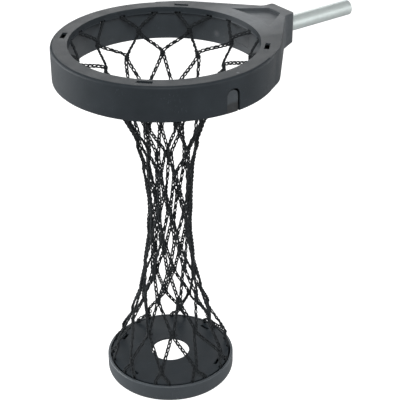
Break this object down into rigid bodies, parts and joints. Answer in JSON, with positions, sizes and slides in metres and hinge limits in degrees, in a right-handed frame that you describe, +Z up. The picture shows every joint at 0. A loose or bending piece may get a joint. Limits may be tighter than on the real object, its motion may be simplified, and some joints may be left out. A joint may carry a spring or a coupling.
{
  "type": "hanging net basket",
  "caption": "Round moulded hoop on a steel tube, with a knotless net that narrows to a waist and widens to a ring base with a central hole.",
  "frame": {"origin": "centre of the free end of the steel tube that carries the hoop", "axes": "+X along the tube, out of the hoop; +Z up, against the way the net hangs"},
  "size_m": [0.474, 0.3, 0.525],
  "materials": {
    "hoop_plastic": "fine moulded grain, charcoal, slight blue cast",
    "liner_plastic": "smooth moulded satin, charcoal",
    "galvanised_steel": "zinc coated, satin, with faint drawing lines",
    "zinc_plated_steel": "bright zinc plate",
    "plug_plastic": "natural nylon",
    "net_cord": "black knotless polyester braid"
  },
  "bodies": {
    "hoop": {"hoop_shell": "hoop_plastic", "hoop_liner": "liner_plastic", "access_cover": "liner_plastic", "tube": "galvanised_steel", "tube_plug": "plug_plastic", "tube_bolt": "zinc_plated_steel", "bolt_washer": "zinc_plated_steel", "net_top": "net_cord"},
    "upper_net": {"net_upper": "net_cord"},
    "waist_net": {"net_waist": "net_cord"},
    "lower_net": {"net_lower": "net_cord"},
    "base": {"base_plate": "liner_plastic", "base_rim": "hoop_plastic"}
  },
  "joints": [
    {"name": "net_swing", "type": "hinge", "parent": "hoop", "child": "upper_net", "pos_m": [-0.324, 0, -0.002], "axis": [0, 1, 0], "range_deg": [-30, 30], "deforming": ["net_top"]},
    {"name": "net_sway", "type": "hinge", "parent": "upper_net", "child": "waist_net", "pos_m": [-0.324, 0, -0.07156], "axis": [1, 0, 0], "range_deg": [-30, 30], "deforming": ["net_upper"]},
    {"name": "net_twist", "type": "hinge", "parent": "waist_net", "child": "lower_net", "pos_m": [-0.324, 0, -0.2615], "axis": [0, 0, 1], "range_deg": [-60, 60], "deforming": ["net_waist"]},
    {"name": "base_lift", "type": "slide", "parent": "lower_net", "child": "base", "axis": [0, 0, 1], "range_m": [0, 0.12], "deforming": ["net_lower"]}
  ]
}
